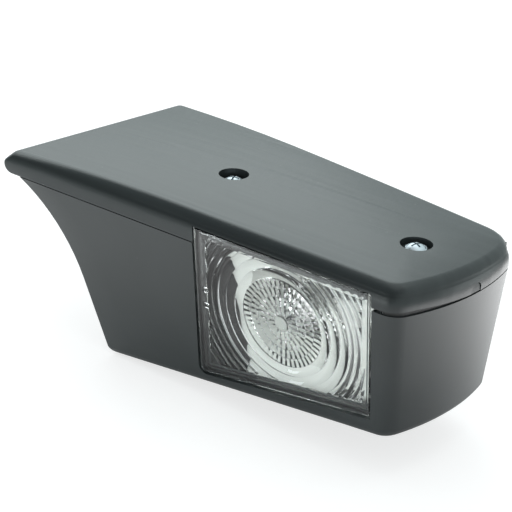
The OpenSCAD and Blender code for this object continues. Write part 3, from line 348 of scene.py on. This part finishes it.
# From the front: rounded rim, face, back of the plate, flange, and the room the flange leaves
plate_rings = (
    (-0.0003, 0.0028, 0.0002), (0, 0.003, 0.0005), (0, 0.003, plate_back),
    (0.003, 0.005, plate_back), (0.003, 0.005, flange_back),
    (-0.0022, 0.001, flange_back), (-0.0022, 0.001, plate_back))
lens = solid_of("lens_plate", [
    [on_front(x, v, depth) for x, v in lens_outline(out, corner)]
    for out, corner, depth in plate_rings])
border, border_corner = 0.0046, 0.0008
room_front, room_back = 0.001, 0.009
inside = solid_of("lens_border_room", [
    [on_front(x, v, depth) for x, v in lens_outline(-border, border_corner)]
    for depth in (room_front, room_back)])

# The optic's stations out from its axis: radius, height over the plate's back, depth of the groove
# between two flutes. One flute of each zone is drawn and repeated round the axis.
optic_x, optic_v = 0.1456, -0.0368
turn = 288
buried = -0.0007
dome_r, dome_edge, dome_count, dome_steps = 0.0036, 0.00365, 48, 6
dome_h, dome_drop = 0.0010, 0.0007
flute_floor, flute_side, flute_h, flute_drop, flute_steps = 0.0002, 0.00004, 0.0011, 0.0006, 4
groove = 0.0005
flutes = (
    (0.0037, 0.0078, 16), (0.0079, 0.0118, 24), (0.0119, 0.0157, 36), (0.0158, 0.0195, 48))
ring_edges = [0.0195, 0.0238, 0.0284, 0.0328, 0.0359, 0.0391, 0.0420, 0.0446, 0.0470]
ring_heights = [0.0012, 0.0012, 0.0013, 0.0022, 0.0024, 0.0024, 0.0024, 0.0024]
ring_floor, riser, ring_spare, ring_steps, ring_count = 0.0001, 0.00012, 0.00016, 5, 48
ring_fall, ring_curve = 0.9, 1.6

drawn = []
for i in range(dome_steps + 1):
    t = i / dome_steps
    drawn.append((dome_r * t, dome_h - dome_drop * t ** 4, 0))
zones = [(dome_count, drawn + [(dome_edge, flute_floor, 0)])]
for inner, outer, count in flutes:
    drawn = [(inner, flute_floor, 0)]
    for i in range(flute_steps + 1):
        t = i / flute_steps
        r = inner + flute_side + (outer - inner - 2 * flute_side) * t
        drawn.append((r, flute_h - flute_drop * t * t, groove))
    zones.append((count, drawn + [(outer, flute_floor, 0)]))
drawn = []
for inner, outer, h in zip(ring_edges, ring_edges[1:], ring_heights):
    drawn.append((inner, ring_floor, 0))
    for i in range(ring_steps + 1):
        t = i / ring_steps
        r = inner + riser + (outer - inner - ring_spare) * t
        drawn.append((r, h * (1 - ring_fall * t ** ring_curve), 0))
zones.append((ring_count, drawn + [(drawn[-1][0], buried, 0), (0, buried, 0)]))
for zone, following in zip(zones, zones[1:]):
    zone[1].append(following[1][0])


def repeat_round_axis():
    tree = bpy.data.node_groups.new("repeat_round_axis", "GeometryNodeTree")
    identifiers = {}
    for name, kind in (("Wedge", "NodeSocketGeometry"), ("Count", "NodeSocketInt"),
                       ("Weld", "NodeSocketFloat"), ("Material", "NodeSocketMaterial")):
        socket = tree.interface.new_socket(name=name, in_out="INPUT", socket_type=kind)
        identifiers[name] = socket.identifier
    tree.interface.new_socket(name="Ring", in_out="OUTPUT", socket_type="NodeSocketGeometry")
    given = tree.nodes.new("NodeGroupInput").outputs
    points = add(tree, "GeometryNodeMeshLine", {"Count": given["Count"], "Offset": (0, 0, 0)})
    index = add(tree, "GeometryNodeInputIndex", {})["Index"]
    share = maths(tree, "DIVIDE", index, given["Count"])
    angle = maths(tree, "MULTIPLY", share, 2 * math.pi)
    copies = add(tree, "GeometryNodeInstanceOnPoints", {
        "Points": points["Mesh"], "Instance": given["Wedge"],
        "Rotation": add(tree, "ShaderNodeCombineXYZ", {"Z": angle})["Vector"]})
    real = add(tree, "GeometryNodeRealizeInstances", {"Geometry": copies["Instances"]})
    welded = add(tree, "GeometryNodeMergeByDistance", {
        "Geometry": real["Geometry"], "Distance": given["Weld"]})
    clad = add(tree, "GeometryNodeSetMaterial", {
        "Geometry": welded["Geometry"], "Material": given["Material"]})
    feed(tree, tree.nodes.new("NodeGroupOutput"), {"Ring": clad["Geometry"]})
    return tree, identifiers


def evaluated(piece):
    bpy.context.view_layer.update()
    depsgraph = bpy.context.evaluated_depsgraph_get()
    return bpy.data.meshes.new_from_object(piece.evaluated_get(depsgraph))


def discard(piece):
    mesh = piece.data
    bpy.data.objects.remove(piece)
    bpy.data.meshes.remove(mesh)


ring_tree, ring_input = repeat_round_axis()
work = bmesh.new()
for count, drawn in zones:
    across = turn // count
    wide = across + 1
    points = []
    for r, h, depth in drawn:
        for k in range(wide):
            a = 2 * math.pi * k / turn
            points.append((r * math.cos(a), r * math.sin(a), depth * abs(2 * k / across - 1) - h))
    corners = [j * wide + k for j in range(len(drawn) - 1) for k in range(across)]
    mesh = bpy.data.meshes.new("flute")
    mesh.from_pydata(points, [], [(c, c + 1, c + wide + 1, c + wide) for c in corners])
    flute = link_object("flute", mesh)
    ring = flute.modifiers.new("ring", "NODES")
    ring.node_group = ring_tree
    ring[ring_input["Count"]] = count
    ring[ring_input["Weld"]] = weld_gap
    ring[ring_input["Material"]] = clear
    zone_mesh = evaluated(flute)
    flute.modifiers.remove(ring)
    work.from_mesh(zone_mesh)
    discard(flute)
    bpy.data.meshes.remove(zone_mesh)
bmesh.ops.remove_doubles(work, verts=work.verts, dist=weld_gap)
bmesh.ops.dissolve_degenerate(work, dist=weld_gap / 10, edges=work.edges)
bmesh.ops.recalc_face_normals(work, faces=work.faces)
seat = Matrix.Translation(on_front(optic_x, optic_v, plate_back))
work.transform(seat @ Matrix.Rotation(math.pi / 2 + lean, 4, "X"))
optic_mesh = bpy.data.meshes.new("lens_optic")
work.to_mesh(optic_mesh)
work.free()
optic = link_object("lens_optic", optic_mesh)


def combine(piece, other, operation):
    change = piece.modifiers.new("join", "BOOLEAN")
    change.operation = operation
    change.solver = "EXACT"
    change.object = other
    result = evaluated(piece)
    piece.modifiers.remove(change)
    old = piece.data
    piece.data = result
    bpy.data.meshes.remove(old)
    discard(other)


combine(optic, inside, "INTERSECT")
combine(lens, optic, "UNION")


# Two latch ribs on the inner edge, and the round marks of four ejector pins sunk in the face
def circle(radius, steps):
    angles = [2 * math.pi * k / steps for k in range(steps)]
    return [(radius * math.cos(a), radius * math.sin(a)) for a in angles]


rib_r, rib_start, rib_end = 0.0012, 0.0017, 0.0051
rib_heights = -0.02865, -0.03595
for v in rib_heights:
    rib = solid_of("latch_rib", [
        [on_front(lens_left + x, lens_top + v + up, plate_back + inward)
         for up, inward in circle(rib_r, 24)]
        for x in (rib_start, rib_end)])
    combine(lens, rib, "UNION")
mark_r, mark_depth, pin_past = 0.0025, 0.00015, 0.001
marks = (0.0026, -0.0174), (0.0026, -0.0486), (0.0192, -0.0628), (0.0701, -0.0549)
for x, v in marks:
    pin = solid_of("pin_mark", [
        [on_front(lens_left + x + across, lens_top + v + up, depth)
         for across, up in circle(mark_r, 48)]
        for depth in (-pin_past, mark_depth)])
    combine(lens, pin, "DIFFERENCE")
work = bmesh.new()
work.from_mesh(lens.data)
bmesh.ops.remove_doubles(work, verts=work.verts, dist=weld_gap)
shade_smooth(work, 24)
work.to_mesh(lens.data)
work.free()
lens.name = "lens_dressed"
lens.data.materials.clear()
lens.data.materials.append(clear)
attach(lens, "root")
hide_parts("lens")

# Reflector: one white moulding with a bowl round the bulb, a flange behind the lens and a foot.
# Its plastic is plain and satin, a little creamy.
dress("reflector", moulded(
    "white_moulding", (0.80, 0.80, 0.76), (0.84, 0.84, 0.80), flow_size=60,
    grain_size=3000, grain_height=0.1, roughness_low=0.28, roughness_high=0.4, dust=0),
    30)

# Bulb: a clear glass globe with a coiled filament on two posts, cemented into a brass cap.
# The cap has two side pins, and a solder contact in a black insulating ring.
dress("bulb_glass", see_through(
    "thin_glass", ior=1.5, size=200, dull=(0.97, 0.99, 0.99), bright=(1, 1, 1), haze=(0, 0.03),
    shadow=0.04), 35)
for name, material, slot in (
        ("bulb_filament", plated("filament_wire", (0.42, 0.42, 0.44), 0.3, 0.45, 2000),
         "filament_wire"),
        ("bulb_cap", plated("brass_cap", (0.78, 0.62, 0.32), 0.22, 0.4, 600), "cap_brass"),
        ("bulb_insulator", moulded(
            "black_insulator", (0.012, 0.012, 0.014), (0.02, 0.02, 0.022), flow_size=150,
            grain_size=3000, grain_height=0.2, roughness_low=0.15, roughness_high=0.3, dust=0),
         "black_insulator"),
        ("bulb_contact", plated("solder", (0.6, 0.6, 0.6), 0.3, 0.5, 1500), "solder")):
    dress(name, material, 35)

# Bulb holder: a plated sleeve with two bayonet slots, a sprung plunger in a black base, and two
# tinned brass blades, each with a push-on receptacle.
for name, material, slot in (
        ("holder_sleeve", plated("plated_sleeve", (0.80, 0.82, 0.83), 0.25, 0.4, 500),
         "plated_sleeve"),
        ("holder_base", moulded(
            "black_base", (0.015, 0.015, 0.016), (0.024, 0.024, 0.025), flow_size=120,
            grain_size=3000, grain_height=0.3, roughness_low=0.35, roughness_high=0.5, dust=0),
         "black_insulator"),
        ("contact_plunger", plated("plunger_brass", (0.8, 0.64, 0.34), 0.25, 0.4, 700),
         "tinned_brass"),
        ("contact_spring", plated("spring_wire", (0.55, 0.56, 0.57), 0.25, 0.35, 1500),
         "zinc_steel"),
        ("terminal_live", plated("tinned_blade", (0.78, 0.7, 0.5), 0.25, 0.4, 500),
         "tinned_brass"),
        ("terminal_earth", plated("tinned_blade_earth", (0.76, 0.69, 0.5), 0.25, 0.4, 500),
         "tinned_brass"),
        ("blade_receptacles", moulded(
            "natural_nylon_sleeves", (0.72, 0.69, 0.58), (0.78, 0.75, 0.64), flow_size=150,
            grain_size=3000, grain_height=0.1, roughness_low=0.35, roughness_high=0.5, dust=0),
         "natural_nylon")):
    dress(name, material, 35)

# Wiring: a dark grey and a black lead from the holder to a two-way nylon connector on the floor.
# Soft smooth insulation with a slight wave in its tone.
for name, material, slot in (
        ("lead_live", moulded(
            "grey_insulation", (0.03, 0.03, 0.032), (0.04, 0.04, 0.042), flow_size=200,
            grain_size=4000, grain_height=0.1, roughness_low=0.3, roughness_high=0.42, dust=0),
         "dark_lead"),
        ("lead_earth", moulded(
            "black_insulation", (0.012, 0.012, 0.012), (0.02, 0.02, 0.02), flow_size=200,
            grain_size=4000, grain_height=0.1, roughness_low=0.3, roughness_high=0.42, dust=0),
         "black_lead"),
        ("lead_connector", moulded(
            "natural_nylon", (0.7, 0.68, 0.58), (0.76, 0.74, 0.64), flow_size=100,
            grain_size=3000, grain_height=0.15, roughness_low=0.38, roughness_high=0.5, dust=0),
         "natural_nylon"),
        ("connector_pins", plated("pin_brass", (0.78, 0.66, 0.4), 0.25, 0.4, 900),
         "tinned_brass")):
    dress(name, material, 50)

# Seals and grommet: black rubber, a flat strip in the seam, one behind the lens's flange, and a
# moulded grommet in the concave end for the cable.
rubber = moulded(
    "black_rubber", (0.014, 0.014, 0.015), (0.022, 0.022, 0.022), flow_size=120,
    grain_size=2500, grain_height=0.3, roughness_low=0.5, roughness_high=0.65, dust=0.1)
for name in ("lid_seal", "lens_seal", "cable_grommet"):
    dress(name, rubber, 35)

# Studio floor: a plain pale table under the heel. The glow the lamp mirrors of it is painted:
# painted shade close by, dimming with distance, and a painted bright patch beyond the outer end.
floor_z = cad_box[0][2]
side = 1.6
floor_mesh = bpy.data.meshes.new("floor")
floor_mesh.from_pydata(
    [(-side, -side, floor_z), (side, -side, floor_z), (side, 3 * side, floor_z),
     (-side, 3 * side, floor_z)], [], [(0, 1, 2, 3)])
floor = link_object("floor", floor_mesh)
pale, tree, shader = new_material("pale_floor")
ray = add(tree, "ShaderNodeLightPath", {})
seen = maths(tree, "MAXIMUM", maths(tree, "MAXIMUM", ray["Is Camera Ray"], ray["Is Glossy Ray"]),
    ray["Is Transmission Ray"])
seen_level = ranged(tree, seen, 0, 1, 0.35, 0.68)
place = add(tree, "ShaderNodeTexCoord", {})["Object"]
from_lamp = add(tree, "ShaderNodeMapping", {
    "Vector": place, "Location": (-0.07, 0, 0), "Scale": (0.6, 1, 0)})["Vector"]
away = add(tree, "ShaderNodeVectorMath", {0: from_lamp}, operation="LENGTH")["Value"]
beyond_end = add(tree, "ShaderNodeVectorMath", {0: place, 1: (0.75, 0.66, 0)},
    operation="DOT_PRODUCT")["Value"]
# Painted shade in the mirrored glow close to the lamp, painted dimming further off, and a painted
# bright patch beyond the outer end.
painted_shade_near = ranged(tree, away, 0.055, 0.14, 0.1, 0.85)
painted_dimming_far = ranged(tree, away, 0.16, 0.4, 1, 0.5)
painted_bright_patch = ranged(tree, beyond_end, 0.095, 0.42, 0, 3.5, "SMOOTHSTEP")
falloff = ranged(tree, away, 0.22, 0.36, 1, 0.1)
mirror_level = maths(tree, "ADD", maths(tree, "MULTIPLY", painted_shade_near, painted_dimming_far),
    maths(tree, "MULTIPLY", painted_bright_patch, falloff))
feed(tree, shader, {
    "Base Color": (0.5, 0.5, 0.5, 1),
    "Roughness": 0.9,
    "Specular IOR Level": 0,
    "Emission Color": (1, 1, 1, 1),
    "Emission Strength": add(tree, "ShaderNodeMix", {
        "Factor": ray["Is Glossy Ray"], "A": seen_level, "B": mirror_level})["Result"]})
floor_mesh.materials.append(pale)

# Surround: white to the camera, cool and even as light, and mirrored with a tone that falls off
# above the front.
world = bpy.data.worlds.new("surround")
bpy.context.scene.world = world
world.use_nodes = True
tree = world.node_tree
even = tree.nodes["Background"]
feed(tree, even, {"Color": (0.92, 0.99, 1, 1), "Strength": 0.6})
white = add(tree, "ShaderNodeBackground", {"Color": (1, 1, 1, 1), "Strength": 1})
dark_way = Vector((-0.35, -0.55, 0.75)).normalized()
place = add(tree, "ShaderNodeTexCoord", {})["Generated"]
facing = add(tree, "ShaderNodeVectorMath", {0: place, 1: dark_way},
    operation="DOT_PRODUCT")["Value"]
mirrored = add(tree, "ShaderNodeBackground", {
    "Color": (0.80, 0.93, 0.93, 1),
    "Strength": ranged(tree, facing, 0.25, 0.85, 1, 0.08, "SMOOTHSTEP")})
ray = add(tree, "ShaderNodeLightPath", {})
seen = maths(tree, "MAXIMUM", ray["Is Camera Ray"], ray["Is Transmission Ray"])
plain = add(tree, "ShaderNodeMixShader", {
    0: seen, 1: even.outputs["Background"], 2: white["Background"]})
whole = add(tree, "ShaderNodeMixShader", {
    0: ray["Is Glossy Ray"], 1: plain["Shader"], 2: mirrored["Background"]})
feed(tree, tree.nodes["World Output"], {"Surface": whole["Shader"]})

# Lamps: soft ones above, in front, behind the roof end and beyond the outer end, and a small one
# low on the left that lights the lens from the side and isn't mirrored.
middle = Vector((0.075, 0, -0.01))
for name, place, size, power in (
        ("lamp_above", (0.1, 0.1, 1.2), 1.0, 3.0),
        ("lamp_front", (-0.25, -1.2, 0.1), 0.8, 4),
        ("lamp_low_left", (-0.55, -0.75, -0.01), 0.25, 4),
        ("lamp_roof_end", (-0.84, 0.74, 0.95), 1.1, 6.2),
        ("lamp_outer_end", (0.95, 0.75, 0.05), 0.6, 1.8)):
    lamp_data = bpy.data.lights.new(name, "AREA")
    lamp_data.size = size
    lamp_data.energy = power
    lamp_data.color = (0.93, 1, 1)
    lamp = link_object(name, lamp_data)
    lamp.location = place
    lamp.rotation_euler = (middle - Vector(place)).to_track_quat("-Z", "Y").to_euler()
    lamp.visible_glossy = name != "lamp_low_left"

bpy.context.scene.view_settings.view_transform = "Standard"
